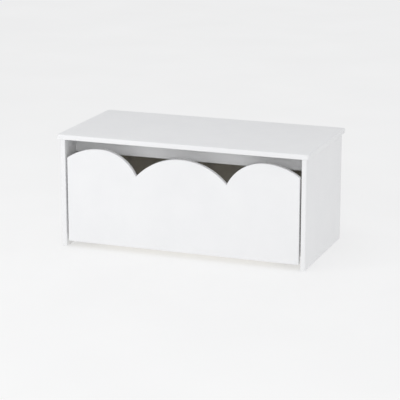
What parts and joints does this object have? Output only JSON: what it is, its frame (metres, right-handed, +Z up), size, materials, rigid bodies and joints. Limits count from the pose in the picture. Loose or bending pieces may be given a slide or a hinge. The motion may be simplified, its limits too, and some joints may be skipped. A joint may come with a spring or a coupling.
{
  "type": "toy box bench",
  "caption": "Low white bench on two side panels with a castor toy box that rolls straight out; the box front has a humped top edge.",
  "frame": {"origin": "on the floor, under the middle of the bench", "axes": "+X along the bench to its right-hand end, the open front with the humped box front faces -Y, +Z up"},
  "size_m": [0.9, 0.445, 0.4],
  "materials": {
    "white_lacquer": "satin lacquer on fibreboard",
    "inner_coat": "ivory roller coat on fibreboard",
    "beech": "fluted beech",
    "zinc": "zinc-plated, matte",
    "steel": "bright zinc-plated steel",
    "glide_plastic": "matte",
    "bumper_rubber": "matte",
    "wheel_plastic": "moulded satin",
    "tread_rubber": "matte soft tread"
  },
  "bodies": {
    "bench": {"top_board": "white_lacquer", "left_side_panel": "white_lacquer", "right_side_panel": "white_lacquer", "front_rail": "white_lacquer", "back_panel": "white_lacquer", "bench_dowels": "beech", "bench_cam_bolts": "steel", "bench_cam_locks": "zinc", "floor_glides": "glide_plastic", "stop_bumpers": "bumper_rubber"},
    "toy_box": {"box_front": "white_lacquer", "box_left_side": "inner_coat", "box_right_side": "inner_coat", "box_back": "inner_coat", "box_bottom": "inner_coat", "box_dowels": "beech", "box_cam_bolts": "steel", "box_cam_locks": "zinc", "box_screws": "steel", "castor_bracket_front_left": "steel", "castor_bracket_front_right": "steel", "castor_bracket_rear_left": "steel", "castor_bracket_rear_right": "steel", "castor_axle_front_left": "zinc", "castor_axle_front_right": "zinc", "castor_axle_rear_left": "zinc", "castor_axle_rear_right": "zinc", "castor_screws": "steel"},
    "wheel_front_left": {"castor_wheel_front_left": "wheel_plastic", "castor_tread_front_left": "tread_rubber"},
    "wheel_front_right": {"castor_wheel_front_right": "wheel_plastic", "castor_tread_front_right": "tread_rubber"},
    "wheel_rear_left": {"castor_wheel_rear_left": "wheel_plastic", "castor_tread_rear_left": "tread_rubber"},
    "wheel_rear_right": {"castor_wheel_rear_right": "wheel_plastic", "castor_tread_rear_right": "tread_rubber"}
  },
  "joints": [
    {"name": "box_slide", "type": "slide", "parent": "bench", "child": "toy_box", "axis": [0, -1, 0], "range_m": [0, 0.5]},
    {"name": "front_left_spin", "type": "hinge", "parent": "toy_box", "child": "wheel_front_left", "pos_m": [-0.3525, -0.1325, 0.0175], "axis": [1, 0, 0], "continuous": true},
    {"name": "front_right_spin", "type": "hinge", "parent": "toy_box", "child": "wheel_front_right", "pos_m": [0.3525, -0.1325, 0.0175], "axis": [1, 0, 0], "continuous": true},
    {"name": "rear_left_spin", "type": "hinge", "parent": "toy_box", "child": "wheel_rear_left", "pos_m": [-0.3525, 0.1175, 0.0175], "axis": [1, 0, 0], "continuous": true},
    {"name": "rear_right_spin", "type": "hinge", "parent": "toy_box", "child": "wheel_rear_right", "pos_m": [0.3525, 0.1175, 0.0175], "axis": [1, 0, 0], "continuous": true}
  ],
  "couplings": [
    {"joint": "front_left_spin", "follows": "box_slide", "rad_per_m": 57.143},
    {"joint": "front_right_spin", "follows": "box_slide", "rad_per_m": 57.143},
    {"joint": "rear_left_spin", "follows": "box_slide", "rad_per_m": 57.143},
    {"joint": "rear_right_spin", "follows": "box_slide", "rad_per_m": 57.143}
  ]
}
